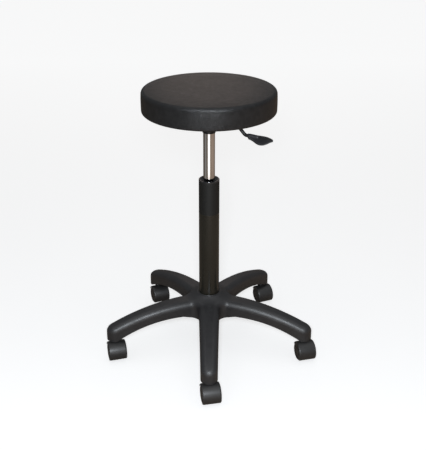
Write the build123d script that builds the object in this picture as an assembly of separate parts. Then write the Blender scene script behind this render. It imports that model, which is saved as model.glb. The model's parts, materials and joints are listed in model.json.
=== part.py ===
from build123d import *
import os
from math import cos, radians, sin, sqrt, tan

# Rolling stool: moulded round seat, gas lift with release lever, five-arm base, twin-wheel casters.
# Millimetres, +Z up, origin on the floor under the column axis, +Y away from the front arm.

# Fits: radial or axial room between pieces
press_gap = 0.02
running_gap = 0.05
swivel_gap = 0.3
soft_gap = 0.2

# Casters
wheel_diameter = 43
wheel_width = 13
wheel_spacing = 16
wheel_edge = 3
wheel_rim = 3.6
wheel_disc = 4
wheel_dish = 1.4
wheel_hub_diameter = 15
wheel_cap_diameter = 20
axle_diameter = 8
axle_grip = 10
hood_gap = 0.8
hood_wall = 1.8
hood_front = 126
hood_back = 52
hood_edge = 0.8
caster_web = 8
caster_side_gap = 0.5
caster_boss_diameter = 15
caster_trail = 15.5
caster_headings = [11, 14, 22, 21, 16]
stem_diameter = 11
stem_grip = 26
stem_pin_diameter = 10
stem_pin_length = 25
stem_collar = 2
stem_collar_diameter = 18
stem_chamfer = 1
grip_ring_width = 2.4
grip_ring_depth = 1
grip_ring_drop = 5

# Five-arm base
caster_circle = 246
arm_count = 5
first_arm = -90
arm_root_width = 54
arm_tip_width = 40
arm_depth = 36
arm_bow = 511
arm_bow_start = 49
arm_hollow = 4.5
arm_edge = 15
arm_wall = 4
arm_junction = 16
arm_overrun = 4
hub_rim_diameter = 62
hub_rim_edge = 1.5
hub_rise = 12
hub_drop = 11
hub_foot_reach = 44
hub_foot_slope = 36
hub_flare_reach = 62
rib = 2.6
rib_spacing = 38
rib_rows = 4
tip_boss_diameter = 23
hub_ring_width = 4
hub_ring_height = 4

# Column
tube_diameter = 50
tube_wall = 2
tube_shown = 306.4
tube_foot_diameter = 47
tube_foot_drop = 8
tube_floor = 3
sleeve_cap = 3
sleeve_cap_edge = 1
sleeve_length = 130
sleeve_dish = 5
sleeve_lip = 3

# Gas lift
cylinder_diameter = 28
cylinder_wall = 3
cylinder_shown = 117.3
taper_top_diameter = 26
lift_down = 110
lift_up = 150
lift_end_room = 0.6
guide_length = 18
seal_length = 8
piston_height = 12
piston_ring_width = 3
piston_ring_depth = 2
piston_play = 0.5
rod_diameter = 10
rod_tail_diameter = 8
rod_spigot = 4
valve_length = 50
valve_bore_depth = 28
valve_port = 3
release_pin_diameter = 10
release_pin_length = 28
release_pin_dome = 12
release_gap = 0.2

# Thrust bearing and retainers at the foot of the column
race_thickness = 2
race_diameter = 22
ball_diameter = 4
ball_circle = 16
ball_count = 8
cage_thickness = 1.2
cage_rim = 1
bump_height = 6
bump_diameter = 24
rod_washer_thickness = 2
rod_washer_diameter = 18
rod_clip_thickness = 1.2
rod_clip_diameter = 14
rod_clip_groove = 1
rod_end = 2.5

# Seat mechanism, laid out along the lever and then turned to its heading
lever_heading = -30
socket_diameter = 31.5
socket_length = 32
socket_chamfer = 0.8
plate_drop = 50.2
plate_width = 160
plate_thickness = 3
plate_corner = 18
bracket_width = 45
bracket_depth = 28
bracket_wall = 2.5
bracket_bend = 5
bracket_back = 34
bracket_front = 56
lever_drop = 8
pivot_reach = 44
pivot_diameter = 6
pivot_head = 2
pivot_head_diameter = 10
pivot_clip = 1.2
pivot_clip_diameter = 11
pivot_tube_diameter = 12
rocker_width = 12
rocker_below = 4
rocker_above = 3
rocker_overrun = 8
lever_diameter = 8
lever_bend_reach = 62.4
lever_fall = 33
lever_slope = 45
lever_bend = 10
paddle_grip = 28
paddle_length = 71
paddle_root_width = 15
paddle_width = 33
paddle_belly = 38
paddle_tip_width = 11
paddle_thickness = 8
paddle_edge = 3
paddle_sleeve_diameter = 13
paddle_sleeve_nose = 3.2
paddle_sleeve_edge = 5.5
paddle_tilt = 12

# Seat
seat_diameter = 316
seat_rim_height = 52.8
seat_crown = 3
seat_flat_diameter = 164
seat_side_bulge = 1.5
seat_top_edge = 12
seat_bottom_edge = 9
seat_lip = 25
board_thickness = 12
bolt_square = 120
bolt_diameter = 6
bolt_head = 4
bolt_head_flats = 10
bolt_hole_room = 0.6
bolt_length = 14
washer_thickness = 1.6
washer_diameter = 12
t_nut_barrel = 8
t_nut_flange = 19
t_nut_flange_thickness = 1.5
t_nut_start = 1

# Heights that follow from the sizes above, from the floor up
axle_z = wheel_diameter / 2
hood_inner = wheel_diameter / 2 + hood_gap
hood_outer = hood_inner + hood_wall
hood_top = axle_z + hood_outer
collar_z = hood_top + swivel_gap
tip_bottom = collar_z + stem_collar
arm_under_bow = arm_bow - arm_depth
bow_centre = tip_bottom - sqrt(arm_under_bow**2 - (caster_circle - arm_bow_start) ** 2)
arm_top = bow_centre + arm_bow
hub_top = arm_top + hub_rise
hub_bottom = arm_top - arm_depth - hub_drop
foot_bottom = hub_bottom - tube_foot_drop
foot_inside = foot_bottom + tube_floor
cap_top = hub_top + tube_shown
tube_top = cap_top - sleeve_cap
ball_z = foot_inside + race_thickness + ball_diameter / 2
upper_race_z = ball_z + ball_diameter / 2
rod_shoulder = upper_race_z + race_thickness
bump_top = rod_shoulder + bump_height
cylinder_bottom = bump_top + lift_end_room + lift_down
piston_bottom = cylinder_bottom + guide_length + seal_length + lift_up + lift_end_room
piston_top = piston_bottom + piston_height
socket_bottom = cap_top + cylinder_shown
cylinder_top = socket_bottom + socket_length
plate_bottom = socket_bottom + plate_drop
seat_bottom = plate_bottom + plate_thickness
board_top = seat_bottom + board_thickness
board_diameter = seat_diameter - 2 * seat_lip
lever_z = plate_bottom - lever_drop
paddle_z = lever_z - lever_fall
lever_foot = lever_bend_reach + lever_fall / tan(radians(lever_slope))
paddle_root = lever_foot + lever_bend * tan(radians(lever_slope / 2))
release_pin_top = lever_z - rocker_below - release_gap
washer_z = foot_bottom - swivel_gap - rod_washer_thickness
clip_z = washer_z - rod_clip_thickness
track = wheel_spacing + 2 * wheel_width
tube_bore = tube_diameter / 2 - tube_wall
cylinder_bore = cylinder_diameter / 2 - cylinder_wall
foot_taper = (tube_diameter - tube_foot_diameter) / 2 / (hub_top - foot_bottom)
arm_angles = [first_arm + 360 / arm_count * i for i in range(arm_count)]
arm_names = ["front", "right", "back_right", "back_left", "left"]
bolt_sides = (-bolt_square / 2, bolt_square / 2)
bolt_corners = [Pos(x, y) for x in bolt_sides for y in bolt_sides]


def turned(*points):
    """A solid of revolution about Z from its half section, as (radius, height) points."""
    return revolve(Plane.XZ * make_face(Polyline(*points, close=True)), Axis.Z)


def ring(outer, inner, bottom, top):
    """A plain ring about Z from its two radii and its two heights."""
    return turned((inner, bottom), (outer, bottom), (outer, top), (inner, top))


def disc(radius, bottom, top):
    """A plain cylinder about Z from its radius and its two heights."""
    return Pos(0, 0, bottom) * extrude(Circle(radius), top - bottom)


def along_x(sketch, start, end):
    """A sketch in the YZ plane, drawn out from one X to another."""
    return Pos(start, 0, 0) * extrude(Plane.YZ * sketch, end - start)


def at_lever(shape):
    """Turns a piece of the seat mechanism to the lever's heading."""
    return Rot(0, 0, lever_heading) * shape


def bow_height(reach, radius):
    """Height of an arc of the arms' bow at a distance from the column axis."""
    return bow_centre + sqrt(radius**2 - (reach - arm_bow_start) ** 2)


def bow_arc(start, end, radius):
    """The arc of the bow between two distances from the column axis."""
    middle = (start + end) / 2
    return ThreePointArc(*((r, bow_height(r, radius)) for r in (start, middle, end)))


# Five-arm base


def arm_plan(inset):
    """Plan outline of one arm along X, drawn in from the outside by an inset."""
    root = Circle(arm_root_width / 2 - inset)
    tip = Pos(caster_circle, 0) * Circle(arm_tip_width / 2 - inset)
    return make_hull(root.edges() + tip.edges())


def star_plan():
    """Plan outline of all the arms, with rounded corners between them."""
    plan = Sketch() + [Rot(0, 0, angle) * arm_plan(0) for angle in arm_angles]
    inner_corners = plan.vertices().filter_by(lambda v: Vector(*v).length < caster_circle / 2)
    return fillet(inner_corners, arm_junction)


def base_envelope():
    """The base's hub and bowed arms as one turned form, before the arms are cut out of it."""
    reach = caster_circle + arm_tip_width / 2 + arm_overrun
    under_start = hub_foot_reach + hub_foot_slope
    under_z = bow_height(under_start, arm_under_bow)
    under_middle = (under_start + caster_circle) / 2
    middle_z = bow_height(under_middle, arm_under_bow) + arm_hollow  # slimmer half-way along
    flare_z = bow_height(hub_flare_reach, arm_bow)
    slope = (hub_flare_reach - arm_bow_start) / arm_bow
    rim = (hub_rim_diameter / 2, hub_top)
    outline = [
        Polyline(
            (0, hub_top),
            (0, hub_bottom),
            (hub_foot_reach, hub_bottom),
            (under_start, under_z),
        ),
        ThreePointArc((under_start, under_z), (under_middle, middle_z), (caster_circle, tip_bottom)),
        Polyline((caster_circle, tip_bottom), (reach, tip_bottom), (reach, bow_height(reach, arm_bow))),
        bow_arc(reach, hub_flare_reach, arm_bow),
        TangentArc((hub_flare_reach, flare_z), rim, tangent=(-1, slope)),
        Line(rim, (0, hub_top)),
    ]
    return revolve(Plane.XZ * make_face(Curve() + outline), Axis.Z)


def top_edges(solid, radius):
    """Edges where the arms' side walls meet a top surface of the bow's radius."""
    def on_top(edge):
        point = edge.position_at(0.5)
        reach = Vector(point.X, point.Y).length
        level = point.Z > bow_height(min(reach, caster_circle), radius) - arm_depth / 3
        shallow = abs(edge.tangent_at(0.5).Z) < sin(radians(45))
        return level and shallow and reach > hub_rim_diameter / 2 + hub_rim_edge

    return solid.edges().filter_by(on_top)


def arm_pockets():
    """The open spaces under one arm along X, parted by its ribs and the boss that takes the stem."""
    bow = arm_bow - arm_wall
    start = (arm_root_width / 2 - arm_wall + rib / 2) / sin(radians(180 / arm_count))
    reach = caster_circle + arm_tip_width / 2
    sides = Polyline(
        (start, bow_height(start, bow)), (start, 0), (reach, 0), (reach, bow_height(reach, bow))
    )
    roof = make_face(Curve() + [sides, bow_arc(reach, start, bow)])
    space = revolve(Plane.XZ * roof, Axis.Z) & extrude(arm_plan(arm_wall), hub_top)
    space = fillet(top_edges(space, bow), arm_edge - arm_wall)
    spine = Pos(caster_circle / 2, 0, hub_top / 2) * Box(caster_circle, rib, hub_top)
    rows = [
        Pos(caster_circle - rib_spacing * (i + 1), 0, hub_top / 2) * Box(rib, arm_root_width, hub_top)
        for i in range(rib_rows)
    ]
    boss = Pos(caster_circle, 0, 0) * disc(tip_boss_diameter / 2, 0, hub_top)
    return space - spine - rows - boss


def star_base():
    body = base_envelope() & extrude(star_plan(), hub_top + hub_rise)
    body = fillet(top_edges(body, arm_bow), arm_edge)
    pockets = arm_pockets()
    stem_top = tip_bottom + stem_grip + press_gap
    bore = Pos(caster_circle, 0, 0) * disc(stem_diameter / 2 + press_gap, 0, stem_top)
    body -= [Rot(0, 0, angle) * pockets for angle in arm_angles]
    body -= [Rot(0, 0, angle) * bore for angle in arm_angles]

    top_radius = tube_diameter / 2 + press_gap
    foot_radius = top_radius - foot_taper * (hub_top - hub_bottom)
    seat_radius = foot_radius + hub_ring_width + press_gap
    body -= turned((0, hub_bottom), (foot_radius, hub_bottom), (top_radius, hub_top), (0, hub_top))
    body -= disc(seat_radius, hub_bottom, hub_bottom + hub_ring_height)
    rim = body.edges().filter_by(GeomType.CIRCLE).group_by(Axis.Z)[-1].sort_by(SortBy.RADIUS)[-1]
    return fillet(rim, hub_rim_edge)


def hub_ring():
    inner_top = tube_diameter / 2 - foot_taper * (hub_top - hub_bottom - hub_ring_height) + press_gap
    inner_foot = tube_diameter / 2 - foot_taper * (hub_top - hub_bottom) + press_gap
    outer = inner_foot + hub_ring_width
    top = hub_bottom + hub_ring_height
    return turned((inner_foot, hub_bottom), (outer, hub_bottom), (outer, top), (inner_top, top))


# Column and gas lift


def column_tube():
    foot = tube_foot_diameter / 2
    outer = tube_diameter / 2
    rod_hole = rod_tail_diameter / 2 + running_gap
    return turned(
        (rod_hole, foot_bottom),
        (foot, foot_bottom),
        (outer, hub_top),
        (outer, tube_top),
        (tube_bore, tube_top),
        (tube_bore, hub_top),
        (foot - tube_wall, foot_inside),
        (rod_hole, foot_inside),
    )


def guide_sleeve():
    bore = cylinder_diameter / 2 + running_gap
    body = tube_bore - press_gap
    cap = tube_diameter / 2
    return turned(
        (bore, cap_top - sleeve_length),
        (body, cap_top - sleeve_length),
        (body, tube_top),
        (cap, tube_top),
        (cap, cap_top - sleeve_cap_edge),
        (cap - sleeve_cap_edge, cap_top),
        (cap - sleeve_lip, cap_top),
        (bore, cap_top - sleeve_dish),
    )


def lift_cylinder():
    outer = cylinder_diameter / 2
    return turned(
        (cylinder_bore, cylinder_bottom),
        (outer, cylinder_bottom),
        (outer, socket_bottom),
        (taper_top_diameter / 2, cylinder_top),
        (cylinder_bore, cylinder_top),
    )


def valve_body():
    outer = cylinder_bore - press_gap
    bore = release_pin_diameter / 2 + running_gap
    port = valve_port / 2
    floor = cylinder_top - valve_bore_depth
    return turned(
        (port, cylinder_top - valve_length),
        (outer, cylinder_top - valve_length),
        (outer, cylinder_top),
        (bore, cylinder_top),
        (bore, floor),
        (port, floor),
    )


def release_pin():
    ball = Pos(0, 0, release_pin_top - release_pin_dome) * Sphere(release_pin_dome)
    shank = disc(release_pin_diameter / 2, release_pin_top - release_pin_length, release_pin_top)
    waist = disc(release_pin_diameter / 2, 0, release_pin_top - release_pin_dome)
    return shank & (ball + waist)


def rod_guide():
    return ring(
        cylinder_bore - press_gap,
        rod_diameter / 2 + running_gap,
        cylinder_bottom,
        cylinder_bottom + guide_length,
    )


def rod_seal():
    bottom = cylinder_bottom + guide_length
    return ring(cylinder_bore - press_gap, rod_diameter / 2 + running_gap, bottom, bottom + seal_length)


def piston():
    outer = cylinder_bore - piston_play
    groove = cylinder_bore - piston_ring_depth
    middle = (piston_bottom + piston_top) / 2
    low, high = middle - piston_ring_width / 2, middle + piston_ring_width / 2
    bore = rod_tail_diameter / 2 + press_gap
    return turned(
        (bore, piston_bottom),
        (outer, piston_bottom),
        (outer, low),
        (groove, low),
        (groove, high),
        (outer, high),
        (outer, piston_top),
        (bore, piston_top),
    )


def piston_ring():
    middle = (piston_bottom + piston_top) / 2
    half = piston_ring_width / 2 - press_gap
    groove = cylinder_bore - piston_ring_depth + press_gap
    return ring(cylinder_bore - running_gap, groove, middle - half, middle + half)


def piston_rod():
    body = rod_diameter / 2
    tail = rod_tail_diameter / 2
    groove = tail - rod_clip_groove
    return turned(
        (0, clip_z - rod_end),
        (tail, clip_z - rod_end),
        (tail, clip_z),
        (groove, clip_z),
        (groove, washer_z),
        (tail, washer_z),
        (tail, rod_shoulder),
        (body, rod_shoulder),
        (body, piston_bottom),
        (tail, piston_bottom),
        (tail, piston_top + rod_spigot),
        (0, piston_top + rod_spigot),
    )


# Thrust bearing and retainers


def bearing_lower_race():
    bore = rod_tail_diameter / 2 + swivel_gap
    return ring(race_diameter / 2, bore, foot_inside, foot_inside + race_thickness)


def bearing_upper_race():
    bore = rod_tail_diameter / 2 + press_gap
    return ring(race_diameter / 2, bore, upper_race_z, rod_shoulder)


def bearing_balls():
    ball = Sphere(ball_diameter / 2 - running_gap)
    return Pos(0, 0, ball_z) * (Part() + list(PolarLocations(ball_circle / 2, ball_count) * ball))


def ball_cage():
    half = ball_diameter / 2 + cage_rim
    bottom = ball_z - cage_thickness / 2
    pocket = disc(ball_diameter / 2 + running_gap, bottom, bottom + cage_thickness)
    band = ring(ball_circle / 2 + half, ball_circle / 2 - half, bottom, bottom + cage_thickness)
    return band - list(PolarLocations(ball_circle / 2, ball_count) * pocket)


def bump_stop():
    return ring(bump_diameter / 2, rod_diameter / 2 + soft_gap, rod_shoulder, bump_top)


def rod_washer():
    bore = rod_tail_diameter / 2 + press_gap
    return ring(rod_washer_diameter / 2, bore, washer_z, washer_z + rod_washer_thickness)


def rod_clip():
    bore = rod_tail_diameter / 2 - rod_clip_groove + press_gap
    mouth = Pos(0, rod_clip_diameter / 2, clip_z) * Box(
        2 * bore, rod_clip_diameter, 4 * rod_clip_thickness
    )
    return ring(rod_clip_diameter / 2, bore, clip_z, washer_z) - mouth


# Seat mechanism


def taper_socket():
    outer = socket_diameter / 2
    low = cylinder_diameter / 2 + press_gap
    high = taper_top_diameter / 2 + press_gap
    return turned(
        (low, socket_bottom),
        (outer - socket_chamfer, socket_bottom),
        (outer, socket_bottom + socket_chamfer),
        (outer, cylinder_top),
        (high, cylinder_top),
    )


def seat_plate():
    hole = Circle(bolt_diameter / 2 + bolt_hole_room)
    outline = RectangleRounded(plate_width, plate_width, plate_corner) - [c * hole for c in bolt_corners]
    return at_lever(Pos(0, 0, plate_bottom) * extrude(outline, plate_thickness))


def lever_bracket():
    web = plate_bottom - bracket_depth
    outside = Rectangle(bracket_width, bracket_depth, align=(Align.CENTER, Align.MIN))
    outside = fillet(outside.vertices().group_by(Axis.Y)[0], bracket_bend)
    inside = Pos(0, bracket_wall) * Rectangle(
        bracket_width - 2 * bracket_wall, bracket_depth, align=(Align.CENTER, Align.MIN)
    )
    inside = fillet(inside.vertices().group_by(Axis.Y)[0], bracket_bend - bracket_wall)
    channel = along_x(Pos(0, web) * (outside - inside), -bracket_back, bracket_front)
    pivot_hole = Pos(pivot_reach, 0, lever_z) * Rot(90, 0, 0) * Cylinder(
        pivot_diameter / 2 + press_gap, 2 * bracket_width
    )
    socket_hole = disc(socket_diameter / 2 + press_gap, web, web + bracket_wall)
    return at_lever(channel - pivot_hole - socket_hole)


def lever_pivot_pin():
    half = bracket_width / 2
    end = half + pivot_clip + pivot_head
    shank = disc(pivot_diameter / 2, -half, end)
    head = disc(pivot_head_diameter / 2, -half - pivot_head, -half)
    return at_lever(Pos(pivot_reach, 0, lever_z) * Rot(90, 0, 0) * (shank + head))


def lever_pivot_clip():
    half = bracket_width / 2
    clip = ring(pivot_clip_diameter / 2, pivot_diameter / 2 + press_gap, half, half + pivot_clip)
    return at_lever(Pos(pivot_reach, 0, lever_z) * Rot(90, 0, 0) * clip)


def lever_rocker():
    half = bracket_width / 2 - bracket_wall - swivel_gap
    tube = disc(pivot_tube_diameter / 2, -half, half)
    finger_profile = Pos(0, rocker_above / 2 - rocker_below / 2) * Rectangle(
        rocker_width, rocker_above + rocker_below
    )
    finger = along_x(finger_profile, -rocker_overrun, pivot_reach)
    finger = fillet(finger.edges().filter_by(Axis.Z).group_by(Axis.X)[0], rocker_width / 3)
    bore = disc(pivot_diameter / 2 + running_gap, -half, half)
    across = Pos(pivot_reach, 0, 0) * Rot(90, 0, 0)
    return at_lever(Pos(0, 0, lever_z) * (finger + across * tube - across * bore))


def lever_rod():
    start = (pivot_reach, 0, lever_z)
    path = FilletPolyline(
        start,
        (lever_bend_reach, 0, lever_z),
        (lever_foot, 0, paddle_z),
        (paddle_root + paddle_grip, 0, paddle_z),
        radius=lever_bend,
    )
    rod = sweep(Plane(start, z_dir=(1, 0, 0)) * Circle(lever_diameter / 2), path)
    tube = Pos(start) * Rot(90, 0, 0) * Cylinder(pivot_tube_diameter / 2, bracket_width)
    return at_lever(rod - tube)


def lever_paddle():
    root = paddle_root_width / 2
    tip = paddle_tip_width / 2
    sleeve_end = paddle_grip + paddle_sleeve_nose
    leaf = make_hull(
        (Pos(root, 0) * Circle(root)).edges()
        + (Pos(paddle_belly, 0) * Circle(paddle_width / 2)).edges()
        + (Pos(paddle_length - tip, 0) * Circle(tip)).edges()
    )
    blade = Pos(0, 0, -paddle_thickness / 2) * extrude(leaf, paddle_thickness)
    blade = fillet(blade.faces().filter_by(Axis.Z).edges(), paddle_edge)
    sleeve = along_x(Circle(paddle_sleeve_diameter / 2), 0, sleeve_end)
    sleeve = fillet(sleeve.faces().sort_by(Axis.X)[-1].edges(), paddle_sleeve_edge)
    bore = along_x(Circle(lever_diameter / 2 + press_gap), 0, paddle_grip + press_gap)
    turn = Pos(paddle_root, 0, paddle_z) * Rot(paddle_tilt, 0, 0)
    return at_lever(turn * (blade + sleeve - bore))


# Seat


def seat_pad():
    radius = seat_diameter / 2
    rim_z = seat_bottom + seat_rim_height
    top = rim_z + seat_crown
    flat = seat_flat_diameter / 2
    waist = radius - seat_side_bulge
    recess = board_diameter / 2 + soft_gap
    recess_top = board_top + soft_gap
    outline = [
        Polyline(
            (flat, top),
            (0, top),
            (0, recess_top),
            (recess, recess_top),
            (recess, seat_bottom),
            (waist, seat_bottom),
        ),
        ThreePointArc((waist, seat_bottom), (radius, (seat_bottom + rim_z) / 2), (waist, rim_z)),
        TangentArc((flat, top), (waist, rim_z), tangent=(1, 0)),
    ]
    section = make_face(Curve() + outline)
    outer = section.vertices().filter_by(lambda v: v.X > recess + soft_gap).sort_by(Axis.Y)
    section = fillet(outer[-1], seat_top_edge)
    outer = section.vertices().filter_by(lambda v: v.X > recess + soft_gap).sort_by(Axis.Y)
    section = fillet(outer[0], seat_bottom_edge)
    return revolve(Plane.XZ * section, Axis.Z)


def seat_board():
    barrel = disc(t_nut_barrel / 2 + press_gap, seat_bottom, board_top)
    flange = disc(t_nut_flange / 2 + press_gap, board_top - t_nut_flange_thickness, board_top)
    board = disc(board_diameter / 2, seat_bottom, board_top)
    return at_lever(board - [c * (barrel + flange) for c in bolt_corners])


def seat_t_nuts():
    bore = bolt_diameter / 2 + running_gap
    flange_z = board_top - t_nut_flange_thickness
    nut = turned(
        (bore, seat_bottom + t_nut_start),
        (t_nut_barrel / 2, seat_bottom + t_nut_start),
        (t_nut_barrel / 2, flange_z),
        (t_nut_flange / 2, flange_z),
        (t_nut_flange / 2, board_top),
        (bore, board_top),
    )
    return at_lever(Part() + [c * nut for c in bolt_corners])


def seat_bolts():
    under = plate_bottom - washer_thickness
    head = Pos(0, 0, under - bolt_head) * extrude(
        RegularPolygon(bolt_head_flats / 2, 6, major_radius=False), bolt_head
    )
    bolt = head + disc(bolt_diameter / 2, under, plate_bottom + bolt_length)
    return at_lever(Part() + [c * bolt for c in bolt_corners])


def seat_washers():
    bore = bolt_diameter / 2 + running_gap
    washer = ring(washer_diameter / 2, bore, plate_bottom - washer_thickness, plate_bottom)
    return at_lever(Part() + [c * washer for c in bolt_corners])


# Casters, each drawn about its own swivel axis with the wheels trailing towards -Y


def at_axle(shape):
    """Moves a piece drawn about the X axis to the caster's axle."""
    return Pos(0, -caster_trail, axle_z) * shape


def caster_stem():
    top = tip_bottom + stem_grip
    ring_high = top - grip_ring_drop
    ring_low = ring_high - grip_ring_width
    body = stem_diameter / 2
    pin = stem_pin_diameter / 2
    groove = body - grip_ring_depth
    return turned(
        (0, collar_z - stem_pin_length),
        (pin - stem_chamfer, collar_z - stem_pin_length),
        (pin, collar_z - stem_pin_length + stem_chamfer),
        (pin, collar_z),
        (stem_collar_diameter / 2, collar_z),
        (stem_collar_diameter / 2, tip_bottom),
        (body, tip_bottom),
        (body, ring_low),
        (groove, ring_low),
        (groove, ring_high),
        (body, ring_high),
        (body, top - stem_chamfer),
        (body - stem_chamfer, top),
        (0, top),
    )


def grip_ring():
    high = tip_bottom + stem_grip - grip_ring_drop - press_gap
    low = high - grip_ring_width + 2 * press_gap
    return ring(stem_diameter / 2, stem_diameter / 2 - grip_ring_depth + press_gap, low, high)


def swung(width, inner, outer, edge):
    """Part of a tube round the axle, from behind the top round to the front of the wheels."""
    section = Pos(0, (inner + outer) / 2) * Rectangle(width, outer - inner)
    if edge:
        section = fillet(section.vertices().group_by(Axis.Y)[-1], edge)
    sweep_angle = hood_front + hood_back
    return at_axle(Rot(-hood_back, 0, 0) * revolve(Plane.XZ * section, Axis.X, sweep_angle))


def caster_hood():
    boss_half = wheel_spacing / 2 - caster_side_gap
    shell = swung(track, hood_inner, hood_outer, hood_edge)
    web = swung(caster_web, axle_diameter / 2, hood_inner + hood_wall / 2, 0)
    hub = at_axle(along_x(Circle(wheel_hub_diameter / 2), -boss_half, boss_half))
    boss_bottom = collar_z - stem_pin_length - hood_wall
    boss = disc(caster_boss_diameter / 2, boss_bottom, hood_top)
    bridge = Pos(0, -caster_trail / 2, (boss_bottom + hood_top - hood_wall) / 2) * Box(
        caster_web, caster_trail, hood_top - hood_wall - boss_bottom
    )
    bore = disc(stem_pin_diameter / 2 + running_gap, collar_z - stem_pin_length - swivel_gap, hood_top)
    axle_hole = at_axle(along_x(Circle(axle_diameter / 2 + press_gap), -track, track))
    return shell + web + hub + boss + bridge - bore - axle_hole


def caster_axle():
    half = wheel_spacing / 2 + axle_grip
    return at_axle(along_x(Circle(axle_diameter / 2), -half, half))


def caster_wheel(side):
    """One wheel, on the left (-1) or right (1) of its caster: a rim, an outer disc and a hub."""
    tread = wheel_diameter / 2
    rim = tread - wheel_rim
    hub = wheel_hub_diameter / 2
    cap = wheel_cap_diameter / 2
    bore = axle_diameter / 2 + running_gap
    disc_inside = wheel_width - wheel_disc
    bore_end = axle_grip + running_gap
    section = make_face(
        Polyline(
            (0, bore),
            (0, hub),
            (disc_inside, hub),
            (disc_inside, rim),
            (0, rim),
            (0, tread),
            (wheel_width, tread),
            (wheel_width, rim - wheel_dish),
            (wheel_width - wheel_dish, rim - 2 * wheel_dish),
            (wheel_width - wheel_dish, cap + wheel_dish),
            (wheel_width, cap),
            (wheel_width, 0),
            (bore_end, 0),
            (bore_end, bore),
            close=True,
        )
    )
    shoulder = section.vertices().sort_by(Axis.Y)[-2:].sort_by(Axis.X)[-1]
    section = fillet(shoulder, wheel_edge)
    wheel = Pos(wheel_spacing / 2, 0, 0) * revolve(Plane.XY * section, Axis.X)
    return at_axle(wheel if side > 0 else mirror(wheel, Plane.YZ))


nodes = {
    "seat_pad": seat_pad(),
    "seat_board": seat_board(),
    "seat_t_nuts": seat_t_nuts(),
    "seat_bolts": seat_bolts(),
    "seat_washers": seat_washers(),
    "seat_plate": seat_plate(),
    "lever_bracket": lever_bracket(),
    "taper_socket": taper_socket(),
    "lever_pivot_pin": lever_pivot_pin(),
    "lever_pivot_clip": lever_pivot_clip(),
    "lever_rocker": lever_rocker(),
    "lever_rod": lever_rod(),
    "lever_paddle": lever_paddle(),
    "lift_cylinder": lift_cylinder(),
    "valve_body": valve_body(),
    "release_pin": release_pin(),
    "rod_guide": rod_guide(),
    "rod_seal": rod_seal(),
    "piston": piston(),
    "piston_ring": piston_ring(),
    "piston_rod": piston_rod(),
    "bearing_upper_race": bearing_upper_race(),
    "bearing_balls": bearing_balls(),
    "ball_cage": ball_cage(),
    "bearing_lower_race": bearing_lower_race(),
    "bump_stop": bump_stop(),
    "rod_washer": rod_washer(),
    "rod_clip": rod_clip(),
    "column_tube": column_tube(),
    "guide_sleeve": guide_sleeve(),
    "hub_ring": hub_ring(),
    "star_base": star_base(),
}
caster = {
    "caster_hood": caster_hood(),
    "caster_axle": caster_axle(),
    "wheel_left": caster_wheel(-1),
    "wheel_right": caster_wheel(1),
}
tips = [Pos(caster_circle * cos(radians(a)), caster_circle * sin(radians(a)), 0) for a in arm_angles]
for arm_name, tip, heading in zip(arm_names, tips, caster_headings):
    nodes[f"{arm_name}_caster_stem"] = tip * caster_stem()
    for piece_name, piece in caster.items():
        nodes[f"{arm_name}_{piece_name}"] = tip * Rot(0, 0, heading) * piece
nodes["caster_grip_rings"] = Part() + [tip * grip_ring() for tip in tips]

os.makedirs("parts", exist_ok=True)
for name, shape in nodes.items():
    export_step(shape, f"parts/{name}.step")
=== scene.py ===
import json
import math

import bmesh
import bpy
from mathutils import Matrix, Vector, geometry, noise


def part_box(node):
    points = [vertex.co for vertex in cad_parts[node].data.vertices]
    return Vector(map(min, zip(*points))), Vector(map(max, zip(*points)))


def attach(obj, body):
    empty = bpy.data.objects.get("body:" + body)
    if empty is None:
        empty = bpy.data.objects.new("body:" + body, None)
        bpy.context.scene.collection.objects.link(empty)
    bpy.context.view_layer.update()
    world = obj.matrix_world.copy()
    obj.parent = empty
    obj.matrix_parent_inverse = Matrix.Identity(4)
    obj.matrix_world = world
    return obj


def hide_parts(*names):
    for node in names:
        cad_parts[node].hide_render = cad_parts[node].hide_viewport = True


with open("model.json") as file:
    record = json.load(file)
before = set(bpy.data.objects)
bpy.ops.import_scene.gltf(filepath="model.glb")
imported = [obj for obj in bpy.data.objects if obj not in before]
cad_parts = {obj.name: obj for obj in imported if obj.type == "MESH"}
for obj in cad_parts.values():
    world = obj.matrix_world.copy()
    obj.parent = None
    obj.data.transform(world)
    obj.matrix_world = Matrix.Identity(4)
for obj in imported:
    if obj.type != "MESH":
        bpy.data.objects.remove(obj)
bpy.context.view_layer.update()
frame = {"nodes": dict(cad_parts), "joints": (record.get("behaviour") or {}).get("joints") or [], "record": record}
nodes = frame["nodes"]
scene = bpy.context.scene
scene.view_settings.view_transform = "Standard"
print("frame loaded:", len(nodes), "CAD nodes")


# Node helpers, for shader and geometry trees alike

def newGroup(name, inputs, outputs, treeKind="ShaderNodeTree"):
    tree = bpy.data.node_groups.new(name, treeKind)
    for direction, sockets in (("INPUT", inputs), ("OUTPUT", outputs)):
        for label, kind in sockets.items():
            tree.interface.new_socket(label, in_out=direction, socket_type="NodeSocket" + kind)
    return tree, tree.nodes.new("NodeGroupInput").outputs, tree.nodes.new("NodeGroupOutput").inputs


def addNode(tree, kind, **settings):
    node = tree.nodes.new(kind)
    for key, value in settings.items():
        setattr(node, key, value)
    return node


def feed(tree, socket, value):
    # a number or a colour is set, another node's output is linked
    if isinstance(value, (int, float, tuple)):
        socket.default_value = value
    else:
        tree.links.new(value, socket)


def noiseNode(tree, vector, scale, detail=3.0, roughness=0.55, output="Fac"):
    node = addNode(tree, "ShaderNodeTexNoise")
    given = {"Vector": vector, "Scale": scale, "Detail": detail, "Roughness": roughness}
    for label, value in given.items():
        feed(tree, node.inputs[label], value)
    return node.outputs[output]


def mathNode(tree, operation, first, second):
    node = addNode(tree, "ShaderNodeMath", operation=operation)
    feed(tree, node.inputs[0], first)
    feed(tree, node.inputs[1], second)
    return node.outputs[0]


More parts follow.
